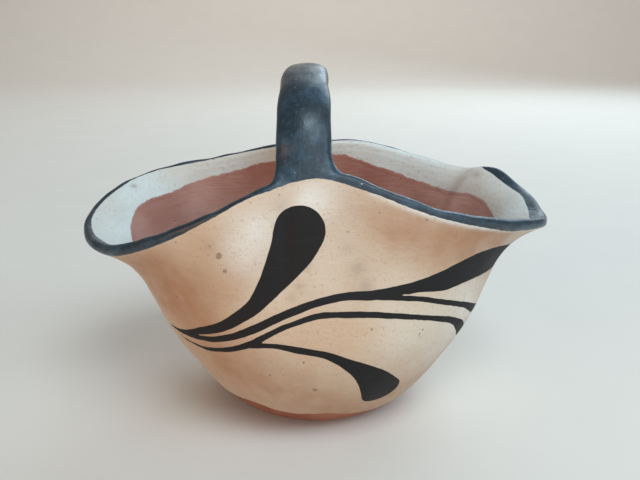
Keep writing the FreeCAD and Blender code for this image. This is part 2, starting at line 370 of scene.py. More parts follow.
@dataclass
class ClayBody:
    """The basket's clay as one volume: turns round it, levels up it, depths through the wall."""

    wall: float = 3.4
    floor: float = 5.0
    lip: float = 2.2
    slip_share: float = 0.15
    flare_start: float = 1.0
    flare_span: float = 12.0
    columns: int = 64
    crowding: float = 0.25
    broad_patch: float = 4.0
    beyond_spots: float = 2.0
    marks: HandMarks = field(default_factory=lambda: HandMarks(7, 17.0, 42.0, 0.16))
    small_marks: HandMarks = field(default_factory=lambda: HandMarks(11, 6.0, 12.0, 0.03))
    lip_marks: HandMarks = field(default_factory=lambda: HandMarks(23, 6.0, 15.0, 0.10))

    def __post_init__(self) -> None:
        """Builds the outer, inner and lip surfaces from the tables."""
        outer = self.outer_poles()
        inner = self.inner_poles(outer)
        self.outer = Net(outer * MM)
        self.inner = Net(inner * MM)
        self.lip_net = Net(self.lip_poles(outer, inner) * MM)
        self.top = self.outer.top

    def direction_of(self, turn: np.ndarray) -> np.ndarray:
        """Direction in degrees of a share of a full turn; columns crowd towards the spouts."""
        angle = 2.0 * math.pi * turn
        return np.degrees(angle - self.crowding * np.sin(2.0 * angle))

    def turn_of(self, direction: np.ndarray) -> np.ndarray:
        """Share of a full turn that lies in a direction given in degrees."""
        turns = np.linspace(-1.0, 2.0, 6001)
        return np.interp(direction, self.direction_of(turns), turns)

    def outer_poles(self) -> np.ndarray:
        """Control points of the outer face, in millimetres, as columns by rows by three.

        Returns:
            The control points.
        """
        direction = self.direction_of(np.arange(self.columns) / self.columns)
        angle = np.radians(direction)
        stations = np.array([[s[0] + 360.0 * lap, s[1], s[2]] for lap in (-1, 0, 1) for s in RIM])
        slopes = (np.roll(stations, -1, 0) - np.roll(stations, 1, 0))
        i = np.searchsorted(stations[:, 0], direction, side="right") - 1
        span = (stations[i + 1, 0] - stations[i, 0])[:, None]
        t = (direction - stations[i, 0])[:, None] / span
        rise = 3.0 * t**2 - 2.0 * t**3
        reach_height = (
            stations[i, 1:] * (1.0 - rise) + stations[i + 1, 1:] * rise
            + (t**3 - 2.0 * t**2 + t) * span * slopes[i, 1:] / slopes[i, :1]
            + (t**3 - t**2) * span * slopes[i + 1, 1:] / slopes[i + 1, :1]
        )
        reach, height = reach_height[:, 0], reach_height[:, 1]
        levels = []
        for z, half_length, half_depth in BOWL:
            radius = 1.0 / np.hypot(np.cos(angle) / half_length, np.sin(angle) / half_depth)
            levels.append((radius, np.full(self.columns, z)))
        belly, belly_height = levels[-1]
        hollow = np.clip((reach - belly - self.flare_start) / self.flare_span, 0.0, 1.0)
        for share, flared in NECK:
            way_out = share * (1.0 - hollow) + flared * hollow
            levels.append((belly + (reach - belly) * way_out,
                           belly_height + (height - belly_height) * share))
        rows = [np.stack([r * np.cos(angle), r * np.sin(angle), z], 1) for r, z in levels]
        return np.stack(rows, 1)

    def inner_poles(self, outer: np.ndarray) -> np.ndarray:
        """Control points of the inner face, one wall's thickness inside the outer ones.

        Args:
            outer: Control points of the outer face.

        Returns:
            The control points, in millimetres.
        """
        around = np.roll(outer, -1, 0) - np.roll(outer, 1, 0)
        up = np.concatenate(
            [outer[:, 1:2] - outer[:, :1], outer[:, 2:] - outer[:, :-2],
             outer[:, -1:] - outer[:, -2:-1]], 1)
        inward = unit(np.cross(up, around))
        inward[:, :2] = (0.0, 0.0, 1.0)
        depth = np.full(outer.shape[1], self.wall)
        depth[:2] = self.floor
        return outer + inward * depth[None, :, None]

    def lip_poles(self, outer: np.ndarray, inner: np.ndarray) -> np.ndarray:
        """Control points over the wall's top edge, from its outer to its inner face.

        Args:
            outer: Control points of the outer face.
            inner: Control points of the inner face.

        Returns:
            The control points, in millimetres.
        """
        o, n = outer[:, -1], inner[:, -1]
        up_out = unit(o - outer[:, -2]) * self.lip
        up_in = unit(n - inner[:, -2]) * self.lip
        rows = [o, o + up_out * 0.6, o * 0.85 + n * 0.15 + up_out * 1.15,
                o * 0.15 + n * 0.85 + up_in * 1.15, n + up_in * 0.6, n]
        return np.stack(rows, 1)

    def bend(self, turn: np.ndarray, level: np.ndarray) -> tuple[np.ndarray, ...]:
        """The wall's two faces, and how far hand marks push both of them outwards.

        Args:
            turn: Share of a full turn, for each point.
            level: Level up the wall, for each point.

        Returns:
            The outer points, the inner points and the push, one row each.
        """
        outer, inner = self.outer.at(turn, level), self.inner.at(turn, level)
        middle = (outer + inner) / 2.0
        height = self.marks.at(middle) + self.small_marks.at(middle)
        height *= ease(level, 0.6, 2.0)
        direction = self.direction_of(turn)
        for middle_at, at_level, width, tall, depth in THUMB_MARKS:
            off = (direction - middle_at + 180.0) % 360.0 - 180.0
            pressed = np.exp(-(off / width) ** 2 - ((level - at_level) / tall) ** 2)
            height -= depth * MM * pressed
        return outer, inner, unit(outer - inner) * height[:, None]

    def at(self, turn: np.ndarray, level: np.ndarray, depth: np.ndarray | float) -> np.ndarray:
        """Points in the wall.

        Args:
            turn: Share of a full turn, for each point.
            level: Level up the wall, for each point.
            depth: Share of the way from the outer to the inner face.

        Returns:
            The points, one row each.
        """
        outer, inner, push = self.bend(turn, level)
        depth = np.broadcast_to(np.asarray(depth, float), turn.shape)[:, None]
        return outer * (1.0 - depth) + inner * depth + push

    def patches(self, points: np.ndarray, spots: tuple, depth: float) -> np.ndarray:
        """How strongly soft round patches cover points.

        Args:
            points: Points in metres, one row each.
            spots: Direction, level, radius in millimetres and strength of each patch.
            depth: Face that the patches lie on, 0 outside, 1 inside.

        Returns:
            The strength at each point, from 0 to 1.
        """
        cover = np.zeros(len(points))
        for direction, level, radius, strength in spots:
            turn = self.turn_of(np.array([float(direction)]))
            centre = self.at(turn, np.array([float(level)]), depth)
            gap = np.linalg.norm(points - centre, axis=1) / (radius * MM)
            soft = strength * np.exp(-gap**2)
            # Broad patches add up; where small ones overlap, the stronger one counts.
            cover = cover + soft if radius >= self.broad_patch else np.maximum(cover, soft)
        return np.clip(cover, 0.0, 1.0)

    def from_spots(self, points: np.ndarray, spots: tuple) -> np.ndarray:
        """Distance of outside points from the nearest spot's edge, in millimetres.

        Args:
            points: Points in metres, one row each.
            spots: Direction, level and radius in millimetres of each spot.

        Returns:
            One distance for each point, negative inside a spot.
        """
        nearest = np.full(len(points), self.beyond_spots)
        for direction, level, radius in spots:
            turn = self.turn_of(np.array([float(direction)]))
            centre = self.at(turn, np.array([float(level)]), 0.0)
            gap = np.linalg.norm(points - centre, axis=1) / MM - radius
            nearest = np.minimum(nearest, gap)
        return nearest

    def over_lip(self, turn: np.ndarray, lap: np.ndarray) -> np.ndarray:
        """Points on the lip, from its outer edge at lap 0 to its inner edge at lap 1.

        Args:
            turn: Share of a full turn, for each point.
            lap: Share of the way over the lip, for each point.

        Returns:
            The points, one row each.
        """
        points = self.lip_net.at(turn, lap * self.lip_net.top)
        push = self.bend(turn, np.full(turn.shape, self.top))[2]
        middle = self.lip_net.at(turn, np.full(turn.shape, self.lip_net.top / 2.0))
        below = (self.lip_net.at(turn, lap * 0.0) + self.lip_net.at(turn, lap * 0.0 + 3.0)) / 2.0
        swell = self.lip_marks.at(middle)[:, None] * np.sin(math.pi * lap)[:, None]
        return points + push + unit(middle - below) * swell

    def across(self, turn: np.ndarray, lap: np.ndarray) -> np.ndarray:
        """Points over the whole rim: down the outer wall under 0, the lip, then the inner wall.

        Args:
            turn: Share of a full turn, for each point.
            lap: 0 to 1 on the lip, levels down a wall beyond that.

        Returns:
            The points, one row each.
        """
        down_out = self.at(turn, self.top + np.minimum(lap, 0.0), 0.0)
        down_in = self.at(turn, self.top - np.maximum(lap - 1.0, 0.0), 1.0)
        on_lip = self.over_lip(turn, np.clip(lap, 0.0, 1.0))
        lap = lap[:, None]
        return np.where(lap < 0.0, down_out, np.where(lap > 1.0, down_in, on_lip))


Surface = Callable[[np.ndarray, np.ndarray], np.ndarray]


@dataclass
class Ply:
    """Rows of points round a piece, with a normal for each point and values to shade by."""

    points: np.ndarray
    normals: np.ndarray
    values: dict[str, np.ndarray] = field(default_factory=dict)

    @staticmethod
    def of(surface: Surface, turns: np.ndarray, rows: np.ndarray) -> "Ply":
        """Samples a surface on a grid.

        Args:
            surface: Gives a point for each pair of turn and row value.
            turns: Shares of a full turn, one for each column.
            rows: Row values, as rows by columns, or one for each row.

        Returns:
            The rows of points with their normals.
        """
        if rows.ndim == 1:
            rows = np.repeat(rows[:, None], len(turns), 1)
        turn = np.repeat(turns[None, :], len(rows), 0).ravel()
        row = rows.ravel()
        step_turn, step_row = 2e-4, 2e-3
        low = np.maximum(row - step_row, rows.min())
        high = np.minimum(row + step_row, rows.max())
        along = surface(turn, high) - surface(turn, low)
        around = surface(turn + step_turn, row) - surface(turn - step_turn, row)
        shape = (*rows.shape, 3)
        points = surface(turn, row).reshape(shape)
        return Ply(points, unit(np.cross(around, along)).reshape(shape))

    def flipped(self) -> "Ply":
        """The same rows in the opposite order, facing the other way."""
        values = {name: v[::-1] for name, v in self.values.items()}
        return Ply(self.points[::-1], -self.normals[::-1], values)


class Piece:
    """A closed mesh made of plies laid one after another round a section."""

    def __init__(self, name: str, plies: list[Ply], poles: tuple = ()) -> None:
        """Makes the mesh and its object.

        Args:
            name: The object's name.
            plies: Plies in order along the section; a flat band joins each to the next.
            poles: Two end points, if the piece closes at its ends; none if it is a ring.
        """
        self.name = name
        points = np.concatenate([p.points for p in plies])
        normals = np.concatenate([p.normals for p in plies])
        breaks = set(np.cumsum([len(p.points) for p in plies]) - 1)
        count, columns = points.shape[:2]
        verts = points.reshape(-1, 3)
        index = np.arange(count * columns).reshape(count, columns)
        bands = range(count - 1) if poles else range(count)
        quads, smooth = [], []
        for j in bands:
            a, b = index[j], index[(j + 1) % count]
            quads.append(np.stack([a, np.roll(a, -1), np.roll(b, -1), b], 1))
            smooth.append(np.full(columns, j not in breaks))
        faces = np.concatenate(quads)
        rounded = np.concatenate(smooth)
        fans = np.zeros((0, 3), int)
        if poles:
            verts = np.concatenate([verts, np.array(poles)])
            first, last = len(verts) - 2, len(verts) - 1
            start, end = index[0], index[-1]
            fans = np.concatenate([
                np.stack([np.full(columns, first), np.roll(start, -1), start], 1),
                np.stack([np.full(columns, last), end, np.roll(end, -1)], 1),
            ])
        corners = [tuple(q) for q in faces.tolist()] + [tuple(t) for t in fans.tolist()]
        self.mesh = bpy.data.meshes.new(name)
        self.mesh.from_pydata(verts.tolist(), [], corners)
        flat_normals = self.face_normals(verts, faces)
        per_corner = np.where(
            rounded[:, None, None], normals.reshape(-1, 3)[faces], flat_normals[:, None, :])
        fan_normals = self.face_normals(verts, fans)[:, None, :].repeat(3, 1)
        loops = np.concatenate([per_corner.reshape(-1, 3), fan_normals.reshape(-1, 3)])
        if self.signed_volume(verts, faces) < 0.0:
            raise ValueError(f"{name} is inside out")
        self.mesh.polygons.foreach_set("use_smooth", [True] * len(self.mesh.polygons))
        self.mesh.normals_split_custom_set(loops.tolist())
        self.store_values(plies, len(verts))
        self.object = bpy.data.objects.new(name, self.mesh)
        bpy.context.scene.collection.objects.link(self.object)

    @staticmethod
    def face_normals(verts: np.ndarray, faces: np.ndarray) -> np.ndarray:
        """Normals of triangles or quads, from their first three corners' spread.

        Args:
            verts: Points, one row each.
            faces: The corners of each face.

        Returns:
            One normal for each face.
        """
        corners = verts[faces]
        return unit(np.cross(corners[:, 1] - corners[:, 0], corners[:, -1] - corners[:, 0]))

    @staticmethod
    def signed_volume(verts: np.ndarray, quads: np.ndarray) -> float:
        """Volume inside the quads, negative if they face inwards.

        Args:
            verts: Points, one row each.
            quads: The four corners of each quad.

        Returns:
            The volume in cubic metres.
        """
        middle = verts.mean(axis=0)
        p = verts[quads] - middle
        first = np.einsum("ij,ij->i", p[:, 0], np.cross(p[:, 1], p[:, 2]))
        second = np.einsum("ij,ij->i", p[:, 0], np.cross(p[:, 2], p[:, 3]))
        return float((first + second).sum() / 6.0)

    def store_values(self, plies: list[Ply], count: int) -> None:
        """Writes the plies' shading values as attributes, zero where a ply has none.

        Args:
            plies: The plies, in the order of their points.
            count: How many points the mesh has.
        """
        names = sorted({name for p in plies for name in p.values})
        for name in names:
            parts = [p.values.get(name, np.zeros(p.points.shape[:2])).ravel() for p in plies]
            data = np.concatenate(parts)
            data = np.pad(data, (0, count - len(data)))
            attribute = self.mesh.attributes.new(name, "FLOAT", "POINT")
            attribute.data.foreach_set("value", data.astype(np.float32))

    def dress(self, material: bpy.types.Material, slot: Slot, *nodes: str) -> bpy.types.Object:
        """Gives the piece its finish and its place in the frame.

        Args:
            material: The finish.
            slot: The record's material slot; not used.
            nodes: The CAD nodes that the piece stands for.

        Returns:
            The piece's object.
        """
        self.mesh.materials.append(material)
        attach(self.object, "root")
        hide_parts(*nodes)
        log.info("%s: %d faces, stands for %s", self.name, len(self.mesh.polygons), nodes)
        return self.object


def even_turns(columns: int) -> np.ndarray:
    """Shares of a full turn, evenly spread."""
    return np.arange(columns) / columns


def arc_below(surface: Surface, turn: np.ndarray, rows: np.ndarray, top: float) -> np.ndarray:
    """Distance down a surface from its top edge, in millimetres.

    Args:
        surface: Gives a point for each pair of turn and level.
        turn: Shares of a full turn, one for each column.
        rows: Levels, as rows by columns.
        top: The level of the top edge.

    Returns:
        The distances, as rows by columns.
    """
    levels = np.linspace(0.0, top, 141)
    distances = np.zeros((len(levels), len(turn)))
    previous = surface(turn, np.full(turn.shape, top))
    for k in range(len(levels) - 2, -1, -1):
        here = surface(turn, np.full(turn.shape, levels[k]))
        distances[k] = distances[k + 1] + np.linalg.norm(here - previous, axis=1) / MM
        previous = here
    position = rows / top * (len(levels) - 1)
    cell = np.clip(position.astype(int), 0, len(levels) - 2)
    share = position - cell
    column = np.arange(len(turn))[None, :].repeat(len(rows), 0)
    return distances[cell, column] * (1.0 - share) + distances[cell + 1, column] * share


class Sheet:
    """A material's node tree, with short ways to add what a fired clay surface needs."""

    def __init__(self, name: str) -> None:
        """Starts an empty material with a shader and an output.

        Args:
            name: The material's name.
        """
        self.material = bpy.data.materials.new(name)
        self.material.use_nodes = True
        self.tree = self.material.node_tree
        self.tree.nodes.clear()
        self.shader = self.tree.nodes.new("ShaderNodeBsdfPrincipled")
        output = self.tree.nodes.new("ShaderNodeOutputMaterial")
        self.tree.links.new(self.shader.outputs["BSDF"], output.inputs["Surface"])
        self.place = self.add("ShaderNodeTexCoord").outputs["Object"]

    def add(self, kind: str, **settings: object) -> bpy.types.Node:
        """Adds a node and sets its properties.

        Args:
            kind: The node's type.
            settings: Values of its properties.

        Returns:
            The node.
        """
        node = self.tree.nodes.new(kind)
        for key, value in settings.items():
            setattr(node, key, value)
        return node

    def feed(self, socket: bpy.types.NodeSocket, value: object) -> None:
        """Links a socket, or sets its value.

        Args:
            socket: The input to feed.
            value: Another socket, or a plain value.
        """
        if isinstance(value, bpy.types.NodeSocket):
            self.tree.links.new(value, socket)
        else:
            socket.default_value = value

    def stretched(self, x: float, y: float, z: float) -> bpy.types.NodeSocket:
        """The place on the object with each axis scaled, for streaks.

        Args:
            x: Scale along X.
            y: Scale along Y.
            z: Scale along Z.

        Returns:
            The scaled place.
        """
        node = self.add("ShaderNodeMapping")
        self.feed(node.inputs["Vector"], self.place)
        node.inputs["Scale"].default_value = (x, y, z)
        return node.outputs["Vector"]

    def noise(self, size: float, detail: float = 3.0, rough: float = 0.5,
              vector: bpy.types.NodeSocket | None = None) -> bpy.types.NodeSocket:
        """Cloudy noise from 0 to 1.

        Args:
            size: Width of its largest patches, in millimetres.
            detail: How many finer layers it has.
            rough: How strong the finer layers are.
            vector: Where to read it, or the place on the object.

        Returns:
            The noise.
        """
        node = self.add("ShaderNodeTexNoise")
        self.feed(node.inputs["Vector"], vector or self.place)
        node.inputs["Scale"].default_value = 1.0 / (size * MM)
        node.inputs["Detail"].default_value = detail
        node.inputs["Roughness"].default_value = rough
        return node.outputs["Fac"]

    def value_of(self, name: str) -> bpy.types.NodeSocket:
        """A shading value stored on the mesh."""
        return self.add("ShaderNodeAttribute", attribute_name=name).outputs["Fac"]

    def reckon(self, operation: str, a: object, b: object = 0.0) -> bpy.types.NodeSocket:
        """One step of arithmetic.

        Args:
            operation: Its name, such as ADD.
            a: The first number.
            b: The second number.

        Returns:
            The result.
        """
        node = self.add("ShaderNodeMath", operation=operation)
        self.feed(node.inputs[0], a)
        self.feed(node.inputs[1], b)
        return node.outputs[0]

    def step(self, value: object, low: float, high: float, start: float = 0.0,
             end: float = 1.0) -> bpy.types.NodeSocket:
        """A smooth step that goes from start at low to end at high.

        Args:
            value: What is read.
            low: Where the step begins.
            high: Where it ends.
            start: The result at low.
            end: The result at high.

        Returns:
            The stepped value.
        """
        node = self.add("ShaderNodeMapRange", interpolation_type="SMOOTHSTEP")
        self.feed(node.inputs["Value"], value)
        node.inputs["From Min"].default_value = low
        node.inputs["From Max"].default_value = high
        node.inputs["To Min"].default_value = start
        node.inputs["To Max"].default_value = end
        return node.outputs["Result"]

    def blend(self, share: object, a: object, b: object) -> bpy.types.NodeSocket:
        """A colour a share of the way from a to b.

        Args:
            share: 0 for a, 1 for b.
            a: The first colour.
            b: The second colour.

        Returns:
            The blended colour.
        """
        node = self.add("ShaderNodeMix", data_type="RGBA")
        self.feed(node.inputs["Factor"], share)
        self.feed(node.inputs[6], a)
        self.feed(node.inputs[7], b)
        return node.outputs[2]

    def between(self, share: object, a: object, b: object) -> bpy.types.NodeSocket:
        """A number a share of the way from a to b.

        Args:
            share: 0 for a, 1 for b.
            a: The first number.
            b: The second number.

        Returns:
            The number between.
        """
        node = self.add("ShaderNodeMix", data_type="FLOAT")
        self.feed(node.inputs["Factor"], share)
        self.feed(node.inputs[2], a)
        self.feed(node.inputs[3], b)
        return node.outputs[0]

    def specks(self, spacing: float, radius: float, share: float) -> bpy.types.NodeSocket:
        """Rare round dots: 1 inside a dot, 0 outside.

        Args:
            spacing: Distance between possible dots, in millimetres.
            radius: Radius of a dot as a share of the spacing.
            share: Share of the possible dots that are there.

        Returns:
            The dots.
        """
        node = self.add("ShaderNodeTexVoronoi")
        self.feed(node.inputs["Vector"], self.place)
        node.inputs["Scale"].default_value = 1.0 / (spacing * MM)
        dot = self.step(node.outputs["Distance"], radius, radius * 0.6)
        split = self.add("ShaderNodeSeparateColor")
        self.feed(split.inputs[0], node.outputs["Color"])
        return self.reckon("MULTIPLY", dot, self.reckon("LESS_THAN", split.outputs[0], share))

    def bump(self, height: bpy.types.NodeSocket, depth: float,
             under: bpy.types.NodeSocket | None = None) -> bpy.types.NodeSocket:
        """Bumps on the surface.

        Args:
            height: Height from 0 to 1.
            depth: What a height of 1 stands for, in millimetres.
            under: Bumps already there.

        Returns:
            The new normal.
        """
        node = self.add("ShaderNodeBump")
        node.inputs["Distance"].default_value = depth * MM
        self.feed(node.inputs["Height"], height)
        if under is not None:
            self.feed(node.inputs["Normal"], under)
        return node.outputs["Normal"]

    def finish(self, colour: object, roughness: object,
               normal: bpy.types.NodeSocket) -> bpy.types.Material:
        """Connects colour, roughness and bumps, and gives the material.

        Args:
            colour: The surface colour.
            roughness: Its roughness.
            normal: Its bumps.

        Returns:
            The material.
        """
        self.feed(self.shader.inputs["Base Color"], colour)
        self.feed(self.shader.inputs["Roughness"], roughness)
        self.feed(self.shader.inputs["Normal"], normal)
        return self.material


@dataclass(frozen=True)
class RedClay:
    """Bare fired clay, wiped smooth with a wet hand: matt, dusty, faintly streaked."""

    deep: tuple = tint(0.60, 0.41, 0.36)
    pale: tuple = tint(0.70, 0.53, 0.48)
    # The same clay darker and more orange on the foot: painted warm shade under the bowl.
    foot_shade_deep: tuple = tint(0.52, 0.29, 0.20)
    foot_shade_pale: tuple = tint(0.62, 0.38, 0.28)
    dust: tuple = tint(0.76, 0.63, 0.58)
    dark: tuple = tint(0.38, 0.26, 0.23)

    def colour(self, sheet: Sheet) -> bpy.types.NodeSocket:
        """The clay's colour on a material's sheet.

        Args:
            sheet: The material's sheet.

        Returns:
            The colour.
        """
        cloud = sheet.step(sheet.noise(22.0, 4.0), 0.32, 0.7)
        # Faces marked as foot take the darker, more orange copy of the clay: painted warm shade.
        foot = sheet.value_of("foot_face")
        colour = sheet.blend(cloud, sheet.blend(foot, self.deep, self.foot_shade_deep),
                             sheet.blend(foot, self.pale, self.foot_shade_pale))
        wiped = sheet.step(sheet.noise(9.0, 5.0, 0.6, sheet.stretched(1, 1, 4)), 0.5, 0.8, 0, 0.25)
        colour = sheet.blend(wiped, colour, self.dust)
        # Stains, with painted shade in the dents, darken the bare clay too.
        colour = sheet.blend(sheet.value_of("stain"), colour, self.dark)
        return sheet.blend(sheet.specks(2.6, 0.12, 0.22), colour, self.dark)

    def normal(self, sheet: Sheet) -> bpy.types.NodeSocket:
        """The clay's grain and wiping marks.

        Args:
            sheet: The material's sheet.

        Returns:
            The bumps.
        """
        wiped = sheet.bump(sheet.noise(7.0, 4.0, 0.6, sheet.stretched(1, 1, 8)), 0.25)
        return sheet.bump(sheet.noise(0.7, 3.0, 0.6), 0.05, wiped)

    def build(self, name: str) -> bpy.types.Material:
        """Makes the material of the inside or the foot.

        Args:
            name: The material's name.

        Returns:
            The material.
        """
        sheet = Sheet(name)
        rough = sheet.step(sheet.noise(6.0, 3.0), 0.3, 0.7, 0.72, 0.9)
        return sheet.finish(self.colour(sheet), rough, self.normal(sheet))


@dataclass(frozen=True)
class BlackPaint:
    """Black slip paint, burnished with a stone to a soft shine and scuffed at the edges; its blue
    tint and paler blue clouds are a painted reflection of cool sky light.
    """

    # The black's blue tint, and the paler blue below it, are a painted reflection of cool sky
    # light.
    black: tuple = tint(0.11, 0.17, 0.21)
    sky_sheen: tuple = tint(0.23, 0.35, 0.425)
    brown: tuple = tint(0.22, 0.185, 0.17)
    chip: tuple = tint(0.60, 0.64, 0.66)

    def colour(self, sheet: Sheet) -> bpy.types.NodeSocket:
        """The burnished black on a material's sheet.

        Args:
            sheet: The material's sheet.

        Returns:
            The colour.
        """
        # Clouds and mottling of painted bluish sheen over the black.
        cloud = sheet.step(sheet.noise(8.0, 6.0, 0.7), 0.42, 0.72, 0.0, 0.6)
        colour = sheet.blend(cloud, self.black, self.sky_sheen)
        mottle = sheet.step(sheet.noise(1.6, 4.0, 0.7), 0.48, 0.75, 0.0, 0.5)
        colour = sheet.blend(mottle, colour, self.sky_sheen)
        thin = sheet.step(sheet.noise(16.0, 3.0), 0.6, 0.85, 0.0, 0.35)
        colour = sheet.blend(thin, colour, self.brown)
        colour = sheet.blend(sheet.specks(1.5, 0.13, 0.1), colour, self.chip)
        return sheet.blend(sheet.specks(3.1, 0.1, 0.16), colour, self.chip)

    def roughness(self, sheet: Sheet) -> bpy.types.NodeSocket:
        """Shine that comes and goes with the stone's strokes.

        Args:
            sheet: The material's sheet.

        Returns:
            The roughness.
        """
        rubbed = sheet.noise(5.0, 5.0, 0.65, sheet.stretched(1.6, 1.0, 1.0))
        return sheet.step(rubbed, 0.3, 0.75, 0.26, 0.5)

    def build(self) -> bpy.types.Material:
        """Makes the material of the handle.

        Returns:
            The material.
        """
        sheet = Sheet("black_paint_burnished")
        strokes = sheet.bump(sheet.noise(5.0, 4.0, 0.6, sheet.stretched(2.0, 1.0, 1.0)), 0.12)
        normal = sheet.bump(sheet.noise(0.9, 3.0, 0.6), 0.06, strokes)
        return sheet.finish(self.colour(sheet), self.roughness(sheet), normal)


@dataclass(frozen=True)
class CreamSlip:
    """Cream slip rubbed to a satin, with the rim's and the strokes' black painted over it."""

    pale: tuple = tint(0.785, 0.72, 0.64)
    warm: tuple = tint(0.76, 0.66, 0.555)
    # Colour of the painted warm shade; the fine grain below is flecked with it too.
    blush: tuple = tint(0.64, 0.475, 0.35)
    # Bluish white of the painted highlights.
    thick: tuple = tint(0.86, 0.865, 0.84)
    # The same slip inside the rim, whiter and bluish: a copy lit by painted cool skylight, for the
    # inner band and the lip's inner half.
    inner_skylit_pale: tuple = tint(0.81, 0.84, 0.83)
    inner_skylit_warm: tuple = tint(0.78, 0.77, 0.735)
    speck: tuple = tint(0.42, 0.32, 0.27)
    stroke: tuple = tint(0.11, 0.108, 0.112)
    paint: BlackPaint = field(default_factory=BlackPaint)
    clay: RedClay = field(default_factory=RedClay)

    def colour(self, sheet: Sheet) -> bpy.types.NodeSocket:
        """The bare slip's colour.

        Args:
            sheet: The material's sheet.

        Returns:
            The colour.
        """
        cloud = sheet.step(sheet.noise(26.0, 4.0), 0.36, 0.66)
        # The inner face takes the skylit copy of the slip: painted cool light.
        within = sheet.value_of("inner_face")
        warm = sheet.blend(within, self.warm, self.inner_skylit_warm)
        colour = sheet.blend(cloud, sheet.blend(within, self.pale, self.inner_skylit_pale), warm)
        streaks = sheet.noise(5.0, 6.0, 0.7, sheet.stretched(1, 1, 3))
        colour = sheet.blend(sheet.step(streaks, 0.48, 0.8, 0, 0.5), colour, warm)
        uneven = sheet.step(sheet.noise(12.0, 4.0, 0.6), 0.2, 0.8, 0.55, 1.15)
        # In turn: painted warm shade; painted highlights; real stains, with painted shade in the
        # thumb dents and on the spout's inner wall.
        for value, tinge in (
                ("blush", self.blush), ("thick", self.thick), ("stain", self.speck)):
            strength = sheet.reckon("MULTIPLY", sheet.value_of(value), uneven)
            colour = sheet.blend(strength, colour, tinge)
        # Fine grain, flecked with the warm shade's colour.
        grain = sheet.step(sheet.noise(1.1, 4.0, 0.7), 0.53, 0.72, 0.0, 0.4)
        colour = sheet.blend(grain, colour, self.blush)
        pits = sheet.step(sheet.noise(0.8, 1.0), 0.74, 0.8, 0.0, 0.5)
        colour = sheet.blend(pits, colour, self.speck)
        return sheet.blend(sheet.specks(5.0, 0.075, 0.3), colour, self.speck)

    def normal(self, sheet: Sheet) -> bpy.types.NodeSocket:
        """The slip's rubbing marks and fine grain.

        Args:
            sheet: The material's sheet.

        Returns:
            The bumps.
        """
        rubbed = sheet.bump(sheet.noise(6.0, 5.0, 0.6, sheet.stretched(1, 1, 4)), 0.22)
        return sheet.bump(sheet.noise(0.8, 3.0, 0.6), 0.06, rubbed)

    def build(self, name: str, painted: bool) -> bpy.types.Material:
        """Makes a slip material.

        Args:
            name: The material's name.
            painted: Whether the leaf strokes are on it.

        Returns:
            The material.
        """
        sheet = Sheet(name)
        wobble = sheet.noise(2.2, 3.0, 0.6)
        colour = self.colour(sheet)
        rough = sheet.step(sheet.noise(4.0, 4.0, 0.6), 0.3, 0.7, 0.38, 0.58)
        uneven = sheet.step(wobble, 0.2, 0.8, -0.3, 0.3)
        inside = sheet.reckon("ADD", sheet.value_of("edge_mm"), uneven)
        bare = sheet.step(inside, 0.28, -0.28)
        colour = sheet.blend(bare, colour, self.clay.colour(sheet))
        rough = sheet.between(bare, rough, 0.82)
        ragged = sheet.step(wobble, 0.2, 0.8, -0.14, 0.14)
        dark = sheet.reckon("ADD", sheet.value_of("paint_mm"), ragged)
        black = sheet.step(dark, 0.09, -0.09)
        # The rim's black, with its painted bluish sheen of sky light.
        colour = sheet.blend(black, colour, self.paint.colour(sheet))
        rough = sheet.between(black, rough, self.paint.roughness(sheet))
        if painted:
            spot = sheet.reckon("ADD", sheet.value_of("spot_mm"), uneven)
            colour = sheet.blend(sheet.step(spot, 0.16, -0.16, 0.0, 0.62), colour, self.speck)
            brushed = sheet.step(sheet.noise(3.0, 2.0), 0.2, 0.8, -0.07, 0.07)
            from_stroke = sheet.reckon("ADD", sheet.value_of("stroke_mm"), brushed)
            stroke = sheet.step(from_stroke, 0.07, -0.07)
            colour = sheet.blend(stroke, colour, self.stroke)
            rough = sheet.between(stroke, rough, 0.62)
            sheen = sheet.between(stroke, 0.5, 0.22)
            sheet.feed(sheet.shader.inputs["Specular IOR Level"], sheen)
        return sheet.finish(colour, rough, self.normal(sheet))


@dataclass
class PaintedLeaves:
    """The brushed strokes on the outside, the same front and back."""

    body: ClayBody
    strokes: tuple = (TEARDROP, LEAF, TWIG, STEM, LOW_LEAF)
    samples: int = 160
    # Roughly how far a degree and a level reach on the wall, in millimetres.
    degree_mm: float = 0.85
    level_mm: float = 11.0
    # How far from a stroke its distance is still wanted, in metres, and points worked at a time.
    margin: float = 0.012
    batch: int = 20000

    def trail(self, stroke: tuple, half_turns: float) -> tuple[np.ndarray, np.ndarray]:
        """Points along a stroke on the wall, and the stroke's half width at each, in metres.

        Args:
            stroke: Direction, level and half width in millimetres of its stations.
            half_turns: How far round the stroke is moved, as a share of a turn.

        Returns:
            The points, one row each, and the half widths.
        """
        table = np.array(stroke, float)
        near = np.stack([table[:, 0] * self.degree_mm, table[:, 1] * self.level_mm], 1)
        steps = np.linalg.norm(np.diff(near, axis=0), axis=1)
        stations = np.concatenate([[0.0], np.cumsum(steps)])
        smooth = smooth_through(stations, table, np.linspace(0.0, stations[-1], self.samples))
        turn = self.body.turn_of(smooth[:, 0]) + half_turns
        return self.body.at(turn, smooth[:, 1], 0.0), smooth[:, 2] * MM

    def distance(self, points: np.ndarray) -> np.ndarray:
        """Distance of points from the nearest stroke's edge, in millimetres, negative inside.

        Args:
            points: Points in metres, one row each.

        Returns:
            One distance for each point.
        """
        nearest = np.full(len(points), 1.0)
        for half_turns in (0.0, 0.5):
            for stroke in self.strokes:
                centres, radii = self.trail(stroke, half_turns)
                low, high = centres.min(0) - self.margin, centres.max(0) + self.margin
                close = np.flatnonzero(((points > low) & (points < high)).all(axis=1))
                for start in range(0, len(close), self.batch):
                    chosen = close[start: start + self.batch]
                    gap = np.linalg.norm(points[chosen, None] - centres[None], axis=2) - radii
                    nearest[chosen] = np.minimum(nearest[chosen], gap.min(axis=1))
        return nearest / MM


